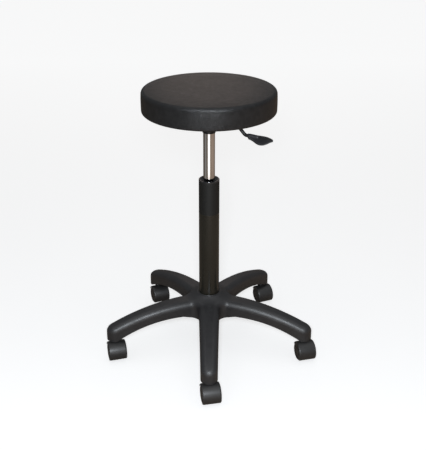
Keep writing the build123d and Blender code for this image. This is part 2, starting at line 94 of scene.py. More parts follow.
def rangeNode(tree, value, low, high, toLow, toHigh):
    node = addNode(tree, "ShaderNodeMapRange")
    given = {"Value": value, "From Min": low, "From Max": high, "To Min": toLow, "To Max": toHigh}
    for label, source in given.items():
        feed(tree, node.inputs[label], source)
    return node.outputs["Result"]


def mixNode(tree, factor, first, second):
    node = addNode(tree, "ShaderNodeMix", data_type="RGBA")
    for label, value in {"Factor": factor, "A": first, "B": second}.items():
        feed(tree, node.inputs[label], value)
    return node.outputs["Result"]


# Shared effects, each a shader node group that puts out one value or colour

effectSpec = {
    "colourBand": (0.35, 0.65),   # noise values at which a drift is wholly one or the other
    "roughBand": (0.3, 0.7),
    "sparkCoarse": 0.31,          # scale of the coarse pits against the fine ones
    "sparkCoarseHeight": 0.6,
    "hideBend": 0.5,              # scale of the noise that bends the creases
    "hideBendReach": 0.0016,
    "hidePores": 4.0,             # scale of the pores against the pebbles
    "hidePoreHeight": 0.25,
}


def makeColourDrift(spec):
    # slow drift between two close colours
    tree, given, out = newGroup(
        "colourDrift",
        {"Vector": "Vector", "Main": "Color", "Drift": "Color", "Scale": "Float"},
        {"Color": "Color"},
    )
    wander = noiseNode(tree, given["Vector"], given["Scale"])
    factor = rangeNode(tree, wander, *spec["colourBand"], 0.0, 1.0)
    feed(tree, out["Color"], mixNode(tree, factor, given["Main"], given["Drift"]))
    return tree


def makeRoughDrift(spec):
    # handling marks: roughness that wanders between two values
    tree, given, out = newGroup(
        "roughDrift",
        {"Vector": "Vector", "Low": "Float", "High": "Float", "Scale": "Float"},
        {"Roughness": "Float"},
    )
    wander = noiseNode(tree, given["Vector"], given["Scale"], detail=4.0, roughness=0.6)
    feed(tree, out["Roughness"], rangeNode(tree, wander, *spec["roughBand"], given["Low"], given["High"]))
    return tree


def makeSparkGrain(spec):
    # fine eroded texture of a moulding tool
    tree, given, out = newGroup("sparkGrain", {"Vector": "Vector", "Scale": "Float"}, {"Height": "Float"})
    fine = noiseNode(tree, given["Vector"], given["Scale"], detail=2.0, roughness=0.6)
    coarseScale = mathNode(tree, "MULTIPLY", given["Scale"], spec["sparkCoarse"])
    coarse = noiseNode(tree, given["Vector"], coarseScale, detail=2.0, roughness=0.5)
    coarseHeight = mathNode(tree, "MULTIPLY", coarse, spec["sparkCoarseHeight"])
    feed(tree, out["Height"], mathNode(tree, "ADD", coarseHeight, fine))
    return tree


def makeHideGrain(spec):
    # pebbles of leather grain parted by thin creases
    tree, given, out = newGroup(
        "hideGrain", {"Vector": "Vector", "Scale": "Float", "Crease": "Float"}, {"Height": "Float"}
    )
    bendScale = mathNode(tree, "MULTIPLY", given["Scale"], spec["hideBend"])
    bend = noiseNode(tree, given["Vector"], bendScale, detail=2.0, roughness=0.5, output="Color")
    shifted = addNode(tree, "ShaderNodeVectorMath", operation="MULTIPLY_ADD")
    feed(tree, shifted.inputs[0], bend)
    feed(tree, shifted.inputs[1], (spec["hideBendReach"],) * 3)
    feed(tree, shifted.inputs[2], given["Vector"])
    cells = addNode(tree, "ShaderNodeTexVoronoi", feature="DISTANCE_TO_EDGE")
    feed(tree, cells.inputs["Vector"], shifted.outputs[0])
    feed(tree, cells.inputs["Scale"], given["Scale"])
    pebbles = rangeNode(tree, cells.outputs["Distance"], 0.0, given["Crease"], 0.0, 1.0)
    poreScale = mathNode(tree, "MULTIPLY", given["Scale"], spec["hidePores"])
    pores = noiseNode(tree, given["Vector"], poreScale, detail=2.0)
    poreHeight = mathNode(tree, "MULTIPLY", pores, spec["hidePoreHeight"])
    feed(tree, out["Height"], mathNode(tree, "ADD", pebbles, poreHeight))
    return tree


colourDrift = makeColourDrift(effectSpec)
roughDrift = makeRoughDrift(effectSpec)
grains = {"spark": makeSparkGrain(effectSpec), "hide": makeHideGrain(effectSpec)}
print("shared effects built")


# Materials

def placeGroup(tree, group, vector, **values):
    node = addNode(tree, "ShaderNodeGroup", node_tree=group)
    feed(tree, node.inputs["Vector"], vector)
    for label, value in values.items():
        feed(tree, node.inputs[label], value)
    return node.outputs[0]


def opaque(colour):
    return (*colour, 1.0)


def grainNormal(tree, place, look):
    values = {"Scale": look["grainScale"]}
    if look["grain"] == "hide":
        values["Crease"] = look["crease"]
    bump = addNode(tree, "ShaderNodeBump")
    feed(tree, bump.inputs["Strength"], look["grainStrength"])
    feed(tree, bump.inputs["Distance"], look["grainDepth"])
    feed(tree, bump.inputs["Height"], placeGroup(tree, grains[look["grain"]], place, **values))
    return bump.outputs["Normal"]


def finish(name, look):
    material = bpy.data.materials.new(name)
    material.use_nodes = True
    tree = material.node_tree
    shader = tree.nodes["Principled BSDF"]
    place = addNode(tree, "ShaderNodeTexCoord").outputs["Object"]
    main, drift = opaque(look["colour"]), opaque(look["drift"])
    colour = placeGroup(tree, colourDrift, place, Main=main, Drift=drift, Scale=look["driftScale"])
    smoothest, roughest = look["rough"]
    rough = placeGroup(tree, roughDrift, place, Low=smoothest, High=roughest, Scale=look["roughScale"])
    coat = look.get("coat", 0.0)
    if "satinShadedTop" in look:                      # above a given height a second finish, satin, whose darker colour is painted shade: the dark reflection of the seat above
        satinShadedTop = look["satinShadedTop"]
        height = addNode(tree, "ShaderNodeSeparateXYZ")
        feed(tree, height.inputs[0], place)
        start, end = satinShadedTop["from"] - satinShadedTop["blend"], satinShadedTop["from"] + satinShadedTop["blend"]
        mask = rangeNode(tree, height.outputs["Z"], start, end, 0.0, 1.0)
        # painted shade: the darker colour of the top band stands in for the seat's dark reflection
        colour = mixNode(tree, mask, colour, opaque(satinShadedTop["colour"]))
        rough = mathNode(tree, "ADD", rough, mathNode(tree, "MULTIPLY", mask, satinShadedTop["rougher"]))
        coat = rangeNode(tree, mask, 0.0, 1.0, coat, satinShadedTop["coat"])
    feed(tree, shader.inputs["Base Color"], colour)
    feed(tree, shader.inputs["Roughness"], rough)
    feed(tree, shader.inputs["Metallic"], look.get("metal", 0.0))
    feed(tree, shader.inputs["Specular IOR Level"], look.get("specular", 0.5))
    feed(tree, shader.inputs["Coat Weight"], coat)
    feed(tree, shader.inputs["Coat Roughness"], look.get("coatRough", 0.1))
    if "grain" in look:
        feed(tree, shader.inputs["Normal"], grainNormal(tree, place, look))
    return material


seatSkin = finish("seatSkin", {
    "colour": (0.0138, 0.0140, 0.0148), "drift": (0.0215, 0.0214, 0.0222), "driftScale": 95,
    "rough": (0.28, 0.37), "roughScale": 90, "specular": 0.5,
    "grain": "hide", "grainScale": 420, "crease": 0.22, "grainStrength": 0.35, "grainDepth": 0.0006,
})
baseNylon = finish("baseNylon", {
    "colour": (0.021, 0.0205, 0.022), "drift": (0.026, 0.0255, 0.027), "driftScale": 30,
    "rough": (0.41, 0.51), "roughScale": 60, "specular": 0.85,
    "grain": "spark", "grainScale": 700, "grainStrength": 0.25, "grainDepth": 0.0003,
})
casterPlastic = finish("casterPlastic", {
    "colour": (0.020, 0.0195, 0.0195), "drift": (0.027, 0.026, 0.0255), "driftScale": 60,
    "rough": (0.40, 0.50), "roughScale": 80, "specular": 0.8,
    "grain": "spark", "grainScale": 900, "grainStrength": 0.14, "grainDepth": 0.0002,
})
wheelPlastic = finish("wheelPlastic", {
    "colour": (0.016, 0.016, 0.017), "drift": (0.024, 0.023, 0.023), "driftScale": 80,
    "rough": (0.34, 0.5), "roughScale": 90,
    "grain": "spark", "grainScale": 1000, "grainStrength": 0.15, "grainDepth": 0.0002,
})
leverPlastic = finish("leverPlastic", {
    "colour": (0.034, 0.034, 0.037), "drift": (0.044, 0.044, 0.048), "driftScale": 70,
    "rough": (0.44, 0.56), "roughScale": 90, "specular": 0.8,
    "grain": "spark", "grainScale": 1100, "grainStrength": 0.2, "grainDepth": 0.0002,
})
guidePlastic = finish("guidePlastic", {
    "colour": (0.022, 0.022, 0.024), "drift": (0.030, 0.030, 0.032), "driftScale": 60,
    "rough": (0.12, 0.18), "roughScale": 80, "specular": 0.7,
    "grain": "spark", "grainScale": 500, "grainStrength": 0.05, "grainDepth": 0.0002,
})
columnPaint = finish("columnPaint", {
    "colour": (0.0160, 0.0145, 0.0105), "drift": (0.0190, 0.0175, 0.0130), "driftScale": 12,
    "rough": (0.20, 0.24), "roughScale": 20, "coat": 0.3, "coatRough": 0.08,
    "grain": "spark", "grainScale": 120, "grainStrength": 0.02, "grainDepth": 0.0001,
    "satinShadedTop": {
        "from": 0.358, "blend": 0.001,       # height of the change, half its depth
        # darker colour: painted shade, the dark reflection of the seat above; the rougher, uncoated surface is the
        # real satin finish
        "colour": (0.0092, 0.0096, 0.0088), "rougher": 0.36, "coat": 0.0,
    },
})
blackSteel = finish("blackSteel", {
    "colour": (0.014, 0.014, 0.015), "drift": (0.020, 0.020, 0.021), "driftScale": 50,
    "rough": (0.34, 0.46), "roughScale": 60,
    "grain": "spark", "grainScale": 800, "grainStrength": 0.18, "grainDepth": 0.0002,
})
liftChrome = finish("liftChrome", {
    "colour": (0.70, 0.69, 0.68), "drift": (0.73, 0.72, 0.71), "driftScale": 20,
    "rough": (0.07, 0.08), "roughScale": 30, "metal": 1.0,
})
groundSteel = finish("groundSteel", {
    "colour": (0.55, 0.55, 0.54), "drift": (0.62, 0.62, 0.61), "driftScale": 60,
    "rough": (0.16, 0.26), "roughScale": 120, "metal": 1.0,
})
zincSteel = finish("zincSteel", {
    "colour": (0.42, 0.43, 0.43), "drift": (0.52, 0.52, 0.50), "driftScale": 160,
    "rough": (0.28, 0.42), "roughScale": 200, "metal": 1.0,
})
valveBrass = finish("valveBrass", {
    "colour": (0.60, 0.44, 0.20), "drift": (0.68, 0.52, 0.26), "driftScale": 90,
    "rough": (0.24, 0.36), "roughScale": 120, "metal": 1.0,
})
sealRubber = finish("sealRubber", {
    "colour": (0.012, 0.012, 0.012), "drift": (0.018, 0.018, 0.018), "driftScale": 90,
    "rough": (0.55, 0.7), "roughScale": 120,
    "grain": "spark", "grainScale": 900, "grainStrength": 0.2, "grainDepth": 0.0002,
})
boardSkin = finish("boardSkin", {
    "colour": (0.014, 0.014, 0.014), "drift": (0.022, 0.021, 0.021), "driftScale": 40,
    "rough": (0.5, 0.62), "roughScale": 60,
    "grain": "spark", "grainScale": 600, "grainStrength": 0.3, "grainDepth": 0.0003,
})

finishOfSlot = {
    "board": boardSkin,
    "zinc_steel": zincSteel,
    "black_steel": blackSteel,
    "column_paint": columnPaint,
    "chrome": liftChrome,
    "ground_steel": groundSteel,
    "valve_brass": valveBrass,
    "seal_rubber": sealRubber,
    "guide_plastic": guidePlastic,
    "base_nylon": baseNylon,
    "caster_plastic": casterPlastic,
    "wheel_plastic": wheelPlastic,
    "lever_plastic": leverPlastic,
    "seat_skin": seatSkin,
}
for part in frame["record"]["subparts"]:
    mesh = nodes[part["node"]].data
    mesh.materials.clear()
    mesh.materials.append(finishOfSlot[part["material_slot"]])
print("finishes on all CAD nodes")


# Mesh helpers

def circleStops(count):
    return [2 * math.pi * i / count for i in range(count)]


def quarterStops(steps):
    return [math.pi / 2 * i / steps for i in range(steps + 1)]


def wallRings(build, rings):
    # a ring of one point is a pole, with triangles round it
    count = max(len(ring) for ring in rings)
    for ring, after in zip(rings, rings[1:]):
        for k in range(count):
            n = (k + 1) % count
            near = [ring[k % len(ring)], ring[n % len(ring)]]
            far = [after[n % len(after)], after[k % len(after)]]
            build.faces.new(list(dict.fromkeys(near + far)))


def capRings(build, rings):
    build.faces.new(list(reversed(rings[0])))
    build.faces.new(rings[-1])


def faceOutward(build):
    bmesh.ops.recalc_face_normals(build, faces=build.faces)
    if build.calc_volume(signed=True) < 0:
        bmesh.ops.reverse_faces(build, faces=build.faces)


def addPiece(name, build, look, place=Matrix.Identity(4)):
    mesh = bpy.data.meshes.new(name)
    build.to_mesh(mesh)
    build.free()
    mesh.transform(place)
    mesh.polygons.foreach_set("use_smooth", [True] * len(mesh.polygons))
    mesh.materials.append(look)
    piece = bpy.data.objects.new(name, mesh)
    scene.collection.objects.link(piece)
    return piece


def axleFrame(joint):
    # X along the axle, Z up
    along, up = Vector(joint["axis"]), Vector((0.0, 0.0, 1.0))
    return Matrix((along, up.cross(along), up)).transposed().to_4x4()


# Seat pad: one moulded cushion turned about the column axis

padSpec = {
    "turns": 192,           # steps round the axis
    "boardRadius": 0.1332,  # edge of the recess that holds the board
    "boardDepth": 0.0122,
    "boardStops": (0.5, 0.97, 1.0),   # rings on the roof of the recess
    "boardWall": 0.006,     # ring on the wall of the recess, above the bottom
    "crown": 0.003,         # rise of the middle over the shoulder
    "crownSteps": 12,
    "flatRadius": 0.082,
    "flatStops": (0.75, 0.5, 0.25),   # rings on the flat middle
    "topEdge": 0.009,
    "bottomEdge": 0.0050,
    "edgeSteps": 8,
    "sideBulge": 0.0005,
    "dents": 0.0005,        # how uneven the moulding is
    "dentScale": 22,
    "dentsAbove": 0.010,    # clear of the bottom edge and of the poles
    "dentsBeyond": 0.02,
    "topBand": 0.002,       # below the rim, where dents turn from inward to downward
}


def padProfile(spec, radius, bottom, top):
    # half a section, from the middle of the recess round the side to the middle of the top
    board, roof, rim = spec["boardRadius"], bottom + spec["boardDepth"], top - spec["crown"]
    lowEdge, topEdge, steps = spec["bottomEdge"], spec["topEdge"], spec["edgeSteps"]
    waist = radius - spec["sideBulge"]
    profile = [(0.0, roof)] + [(board * share, roof) for share in spec["boardStops"]]
    profile += [(board, bottom + spec["boardWall"]), (board, bottom)]
    for angle in quarterStops(steps):                # rolled bottom edge
        reach = waist - lowEdge + lowEdge * math.sin(angle)
        profile.append((reach, bottom + lowEdge - lowEdge * math.cos(angle)))
    for i in range(1, steps):                        # side, swelling a little at half height
        share = i / steps
        reach = waist + spec["sideBulge"] * math.sin(math.pi * share)
        profile.append((reach, bottom + lowEdge + (rim - topEdge - bottom - lowEdge) * share))
    for angle in quarterStops(steps):                # shoulder
        reach = waist - topEdge + topEdge * math.cos(angle)
        profile.append((reach, rim - topEdge + topEdge * math.sin(angle)))
    edge = waist - topEdge
    for i in range(1, spec["crownSteps"] + 1):       # crown up to the flat middle
        share = i / spec["crownSteps"]
        reach = edge + (spec["flatRadius"] - edge) * share
        profile.append((reach, rim + spec["crown"] * (1 - (1 - share) ** 2)))
    profile += [(spec["flatRadius"] * share, top) for share in spec["flatStops"]]
    return profile + [(0.0, top)]


def seatPad(spec):
    low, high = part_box("seat_pad")
    bottom, top = low.z, high.z
    dentsTurn = top - spec["crown"] - spec["topBand"]
    build = bmesh.new()
    rings = []
    for reach, height in padProfile(spec, high.x, bottom, top):
        if reach == 0.0:
            rings.append([build.verts.new((0.0, 0.0, height))])
            continue
        dented = height > bottom + spec["dentsAbove"] and reach > spec["dentsBeyond"]
        ring = []
        for angle in circleStops(spec["turns"]):
            spot = Vector((reach * math.cos(angle), reach * math.sin(angle), height))
            if dented:
                outward, upward = Vector((math.cos(angle), math.sin(angle), 0.0)), Vector((0.0, 0.0, 1.0))
                sink = spec["dents"] * (0.5 + 0.5 * noise.noise(spot * spec["dentScale"]))
                spot -= (outward if height < dentsTurn else upward) * sink
            ring.append(build.verts.new(spot))
        rings.append(ring)
    wallRings(build, rings)
    faceOutward(build)
    pad = addPiece("paddedSeat", build, seatSkin)
    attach(pad, "seat")
    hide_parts("seat_pad")


seatPad(padSpec)
print("seat pad made")


# Release paddle: a drooping leaf with a round neck over the rod

leverHeading = -30.0       # degrees, where the lever points

paddleSpec = {
    "root": 0.1036,        # neck, from the column axis
    "height": 0.57158,
    "tilt": 13.0,          # degrees, near edge down
    "drop": 0.0022,        # leaf below the rod
    "skew": 0.35,          # near edge further out than the far one
    "length": 0.0595,
    "neckWidth": 0.014,
    "neckRound": (-0.0006, 0.001),           # end face before the neck: its place, how much narrower
    "neckFlare": 0.001,
    "bellyAt": 0.0315,
    "bellyWidth": 0.037,
    "tipWidth": 0.0095,
    "tipHandle": (-0.006, 0.004),
    "tipRound": ((0.0014, -0.0012), (0.0022, -0.0030)),
    "handle": 0.014,       # length of the outline's other handles
    "droop": 0.0050,       # how far the middle hangs below neck and tip
    "droopPower": 1.5,
    "thickness": (0.0115, 0.0068, 0.0036),   # neck, belly, tip
    "fullest": 1.6,        # thickness at most, in half widths
    "sidePower": 0.85,     # how square a section is, across and upright
    "facePower": 0.75,
    "sleeveLength": 0.0270,
    "sleeveRadius": (0.0056, 0.0045),
    "sleeveMouth": (-0.0008, 0.85),          # share of the length, share of the radius
    "sleeveStraight": 0.88,                  # share of the length before the round nose
    "sleeveSteps": 6,
    "noseAngles": (0.4, 0.8, 1.15, 1.45),
    "steps": 18,
    "sides": 24,
}


def bent(value, power):
    return math.copysign(abs(value) ** power, value)


def leafOutline(spec):
    # reach and half width along the leaf
    neck = Vector((0.0, spec["neckWidth"] / 2))
    belly = Vector((spec["bellyAt"], spec["bellyWidth"] / 2))
    tip = Vector((spec["length"], spec["tipWidth"] / 2))
    along = Vector((spec["handle"], 0.0))
    fromNeck = neck + Vector((spec["handle"], spec["neckFlare"]))
    rise = geometry.interpolate_bezier(neck, fromNeck, belly - along, belly, spec["steps"])
    toTip = tip + Vector(spec["tipHandle"])
    fall = geometry.interpolate_bezier(belly, belly + along, toTip, tip, spec["steps"])
    startOut, startIn = spec["neckRound"]
    outline = [Vector((startOut, neck.y - startIn))] + list(rise) + list(fall[1:])
    return outline + [tip + Vector(step) for step in spec["tipRound"]]


def leafRings(build, spec):
    atNeck, atBelly, atTip = spec["thickness"]
    length, bellyAt = spec["length"], spec["bellyAt"]
    rings = []
    for reach, half in leafOutline(spec):
        if reach < bellyAt:
            thick = atNeck + (atBelly - atNeck) * reach / bellyAt
        else:
            thick = atBelly + (atTip - atBelly) * (reach - bellyAt) / (length - bellyAt)
        thick = min(thick, spec["fullest"] * half)
        share = min(max(reach / length, 0.0), 1.0)
        hang = -spec["drop"] - spec["droop"] * math.sin(math.pi * share) ** spec["droopPower"]
        ring = []
        for angle in circleStops(spec["sides"]):
            aside = half * bent(math.cos(angle), spec["sidePower"])
            above = hang + thick / 2 * bent(math.sin(angle), spec["facePower"])
            ring.append(build.verts.new((reach - spec["skew"] * aside, aside, above)))
        rings.append(ring)
    return rings


def sleeveRings(build, spec):
    rootRadius, noseRadius = spec["sleeveRadius"]
    straight, steps = spec["sleeveStraight"], spec["sleeveSteps"]
    stops = [spec["sleeveMouth"], (0.0, 1.0)]
    stops += [(straight * i / steps, 1.0) for i in range(1, steps + 1)]
    stops += [(straight + (1 - straight) * math.sin(angle), math.cos(angle)) for angle in spec["noseAngles"]]
    rings = []
    for share, shrink in stops:
        reach = share * spec["sleeveLength"]
        radius = (rootRadius + (noseRadius - rootRadius) * max(share, 0.0)) * shrink
        rings.append([
            build.verts.new((reach, radius * math.cos(angle), radius * math.sin(angle)))
            for angle in circleStops(spec["sides"])
        ])
    return rings


def leverPaddle(spec):
    build = bmesh.new()
    for rings in (leafRings(build, spec), sleeveRings(build, spec)):
        wallRings(build, rings)
        capRings(build, rings)
    faceOutward(build)
    heading = Matrix.Rotation(math.radians(leverHeading), 4, "Z")
    root = Matrix.Translation((spec["root"], 0.0, spec["height"]))
    tilt = Matrix.Rotation(math.radians(spec["tilt"]), 4, "X")
    paddle = addPiece("leverPaddle", build, leverPlastic, heading @ root @ tilt)
    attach(paddle, "lever")
    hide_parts("lever_paddle")


leverPaddle(paddleSpec)
print("release paddle made")


# Caster shells: the rounded outer skin of each hood, over its plain solid

shellSpec = {
    "halfWidth": 0.0223,
    "outer": 0.0245,       # radius about the axle
    "inner": 0.0232,       # inside the wall of the solid hood
    "corner": 0.0036,      # rounding of the side edges
    "cornerSteps": 8,
    "lipEnd": 0.0198,      # how far the sides reach in over the wheels
    "lipInside": 0.0217,
    "back": -53.0,         # degrees from the top, behind and in front
    "front": 127.0,
    "steps": 44,
    "sharp": 40.0,         # degrees, edges that stay crisp
}


def shellProfile(spec):
    # a channel: outside from lip to lip, then back along the inside
    wide, outer, corner = spec["halfWidth"], spec["outer"], spec["corner"]
    half = [(wide, spec["lipEnd"])]
    for angle in quarterStops(spec["cornerSteps"]):
        half.append((wide - corner + corner * math.cos(angle), outer - corner + corner * math.sin(angle)))
    inside = [(spec["lipInside"], spec["inner"]), (spec["lipInside"], spec["lipEnd"])]
    profile = half + [(-x, reach) for x, reach in reversed(half)]
    return profile + [(-x, reach) for x, reach in reversed(inside)] + inside


def casterShells(spec):
    profile, sweep = shellProfile(spec), spec["front"] - spec["back"]
    for joint in frame["joints"]:
        wheel = joint["child"]
        if not wheel.endswith("_wheel_left"):        # one shell over each pair of wheels
            continue
        build = bmesh.new()
        rings = []
        for i in range(spec["steps"] + 1):
            angle = math.radians(spec["back"] + sweep * i / spec["steps"])
            back, up = -math.sin(angle), math.cos(angle)
            rings.append([build.verts.new((x, reach * back, reach * up)) for x, reach in profile])
        wallRings(build, rings)
        capRings(build, rings)
        faceOutward(build)
        for edge in build.edges:
            edge.smooth = edge.calc_face_angle(0.0) < math.radians(spec["sharp"])
        place = Matrix.Translation(joint["pos_m"]) @ axleFrame(joint)
        shell = addPiece(wheel.replace("wheel_left", "shell"), build, casterPlastic, place)
        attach(shell, wheel.replace("wheel_left", "caster"))


casterShells(shellSpec)
print("caster shells made")


# Hub lip: the rolled edge of the base round the foot of the tube

lipSpec = {
    "middle": 0.0276,      # radius of the ring
    "round": 0.0018,       # radius of its rounding
    "sunk": 0.0004,        # middle below the top of the hub
    "steps": 96,
    "sides": 16,
}


def hubLip(spec):
    _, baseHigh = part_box("star_base")
    build = bmesh.new()
    rings = []
    for turn in circleStops(spec["steps"]):
        ring = []
        for angle in circleStops(spec["sides"]):
            reach = spec["middle"] + spec["round"] * math.cos(angle)
            height = baseHigh.z - spec["sunk"] + spec["round"] * math.sin(angle)
            ring.append(build.verts.new((reach * math.cos(turn), reach * math.sin(turn), height)))
        rings.append(ring)
    wallRings(build, rings + rings[:1])
    faceOutward(build)
    lip = addPiece("hubLip", build, baseNylon)
    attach(lip, "base")


hubLip(lipSpec)
print("hub lip made")


# Helpers for pieces made by Geometry Nodes

def setInputs(modifier, values):
    for item in modifier.node_group.interface.items_tree:
        if item.in_out == "INPUT" and item.name in values:
            modifier[item.identifier] = values[item.name]


def endTree(tree, instances, look, out, rounded):
    real = addNode(tree, "GeometryNodeRealizeInstances")
    feed(tree, real.inputs["Geometry"], instances)
    result = real.outputs["Geometry"]
    if rounded:
        smooth = addNode(tree, "GeometryNodeSetShadeSmooth")
        feed(tree, smooth.inputs["Geometry"], result)
        result = smooth.outputs["Geometry"]
    paint = addNode(tree, "GeometryNodeSetMaterial")
    feed(tree, paint.inputs["Geometry"], result)
    feed(tree, paint.inputs["Material"], look)
    feed(tree, out, paint.outputs["Geometry"])


def grownPiece(name, source, tree, values):
    # the tree's result on a source mesh, as a plain mesh
    start = bpy.data.objects.new(source.name, source)
    scene.collection.objects.link(start)
    modifier = start.modifiers.new(name, "NODES")
    modifier.node_group = tree
    setInputs(modifier, values)
    bpy.context.view_layer.update()
    seen = start.evaluated_get(bpy.context.evaluated_depsgraph_get())
    mesh = bpy.data.meshes.new_from_object(seen)
    mesh.name = name
    look = mesh.materials[-1]                # an empty slot comes before it
    mesh.materials.clear()
    mesh.materials.append(look)
    mesh.polygons.foreach_set("material_index", [0] * len(mesh.polygons))
    bpy.data.objects.remove(start)
    piece = bpy.data.objects.new(name, mesh)
    scene.collection.objects.link(piece)
    return piece


# Weld beads on the seat mechanism, laid along a path by Geometry Nodes

weldSpec = {
    "bead": 0.0017,        # radius of one bead
    "beadDetail": 2,       # subdivisions of one bead
    "pitch": 0.0013,       # step along the seam
    "wander": 0.25,        # uneven bead size, as a share
    "seed": 7,
    "socketRadius": 0.01575,
    "socketSteps": 48,
    "bracketWidth": 0.045,
    "bracketDepth": 0.028,
    "stitches": [(-0.030, -0.010), (0.024, 0.050)],   # runs along the bracket's two flanges
}


def weldTree(spec):
    tree, given, out = newGroup(
        "weldBeads",
        {"Path": "Geometry", "Bead": "Float", "Pitch": "Float", "Wander": "Float", "Finish": "Material"},
        {"Beads": "Geometry"},
        "GeometryNodeTree",
    )
    curve = addNode(tree, "GeometryNodeMeshToCurve")
    feed(tree, curve.inputs["Mesh"], given["Path"])
    stops = addNode(tree, "GeometryNodeResampleCurve", mode="LENGTH")
    feed(tree, stops.inputs["Curve"], curve.outputs["Curve"])
    feed(tree, stops.inputs["Length"], given["Pitch"])
    drop = addNode(tree, "GeometryNodeMeshIcoSphere")
    feed(tree, drop.inputs["Subdivisions"], spec["beadDetail"])
    feed(tree, drop.inputs["Radius"], given["Bead"])
    size = addNode(tree, "FunctionNodeRandomValue", data_type="FLOAT")
    feed(tree, size.inputs["Seed"], spec["seed"])
    feed(tree, size.inputs["Min"], mathNode(tree, "SUBTRACT", 1.0, given["Wander"]))
    feed(tree, size.inputs["Max"], 1.0)
    place = addNode(tree, "GeometryNodeInstanceOnPoints")
    feed(tree, place.inputs["Points"], stops.outputs["Curve"])
    feed(tree, place.inputs["Instance"], drop.outputs["Mesh"])
    feed(tree, place.inputs["Scale"], size.outputs["Value"])
    endTree(tree, place.outputs["Instances"], given["Finish"], out["Beads"], rounded=True)
    return tree


def weldPath(spec):
    plateLow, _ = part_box("seat_plate")
    web = plateLow.z - spec["bracketDepth"]
    radius, steps = spec["socketRadius"], spec["socketSteps"]
    points = [(radius * math.cos(angle), radius * math.sin(angle), web) for angle in circleStops(steps)]
    edges = [(i, (i + 1) % steps) for i in range(steps)]         # round the socket
    turn = math.radians(leverHeading)
    for side in (-1, 1):
        y = side * spec["bracketWidth"] / 2
        for stitch in spec["stitches"]:
            edges.append((len(points), len(points) + 1))
            for x in stitch:
                across = x * math.cos(turn) - y * math.sin(turn)
                points.append((across, x * math.sin(turn) + y * math.cos(turn), plateLow.z))
    path = bpy.data.meshes.new("weldPath")
    path.from_pydata(points, edges, [])
    return path


def weldBeads(spec):
    beads = grownPiece("weldBeads", weldPath(spec), weldTree(spec), {
        "Bead": spec["bead"], "Pitch": spec["pitch"], "Wander": spec["wander"], "Finish": blackSteel,
    })
    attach(beads, "seat")


weldBeads(weldSpec)
print("weld beads laid")


# Ribs inside the caster wheels, set round each axle by Geometry Nodes

ribSpec = {
    "count": 8,
    "thickness": 0.0014,
    "inner": 0.0070,       # from the hub
    "outer": 0.0185,       # into the rim
    "depth": 0.0075,       # along the axle, from the disc inwards
    "farEnd": 0.0175,      # disc end of the ribs, from the middle of the axle
}


def ribTree():
    tree, given, out = newGroup(
        "wheelRibs",
        {
            "Start": "Geometry", "Count": "Int", "Inner": "Float", "Outer": "Float",
            "Thickness": "Float", "Depth": "Float", "Finish": "Material",
        },
        {"Ribs": "Geometry"},
        "GeometryNodeTree",
    )
    middle = mathNode(tree, "MULTIPLY", mathNode(tree, "ADD", given["Inner"], given["Outer"]), 0.5)
    loop = addNode(tree, "GeometryNodeCurvePrimitiveCircle", mode="RADIUS")
    feed(tree, loop.inputs["Resolution"], given["Count"])
    feed(tree, loop.inputs["Radius"], middle)
    stops = addNode(tree, "GeometryNodeCurveToPoints", mode="EVALUATED")
    feed(tree, stops.inputs["Curve"], loop.outputs["Curve"])
    size = addNode(tree, "ShaderNodeCombineXYZ")
    feed(tree, size.inputs["X"], mathNode(tree, "SUBTRACT", given["Outer"], given["Inner"]))
    feed(tree, size.inputs["Y"], given["Depth"])
    feed(tree, size.inputs["Z"], given["Thickness"])
    bar = addNode(tree, "GeometryNodeMeshCube")
    feed(tree, bar.inputs["Size"], size.outputs["Vector"])
    place = addNode(tree, "GeometryNodeInstanceOnPoints")
    feed(tree, place.inputs["Points"], stops.outputs["Points"])
    feed(tree, place.inputs["Instance"], bar.outputs["Mesh"])
    feed(tree, place.inputs["Rotation"], stops.outputs["Rotation"])
    endTree(tree, place.outputs["Instances"], given["Finish"], out["Ribs"], rounded=False)
    return tree


def wheelRibs(spec):
    tree = ribTree()
    values = {
        "Count": spec["count"], "Inner": spec["inner"], "Outer": spec["outer"],
        "Thickness": spec["thickness"], "Depth": spec["depth"], "Finish": wheelPlastic,
    }
    upright = Matrix.Rotation(math.pi / 2, 4, "Y")               # the tree's ring lies flat
    for joint in frame["joints"]:
        wheel = joint["child"]
        if "_wheel_" not in wheel:
            continue
        ribs = grownPiece(wheel.replace("wheel", "ribs"), bpy.data.meshes.new("ribStart"), tree, values)
        side = -1 if wheel.endswith("_left") else 1
        reach = side * (spec["farEnd"] - spec["depth"] / 2)
        middle = Vector(joint["pos_m"]) + Vector(joint["axis"]) * reach
        ribs.data.transform(Matrix.Translation(middle) @ axleFrame(joint) @ upright)
        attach(ribs, wheel)


wheelRibs(ribSpec)
print("wheel ribs set")


# Studio: pale floor and sky for the camera, soft lights, and the camera itself

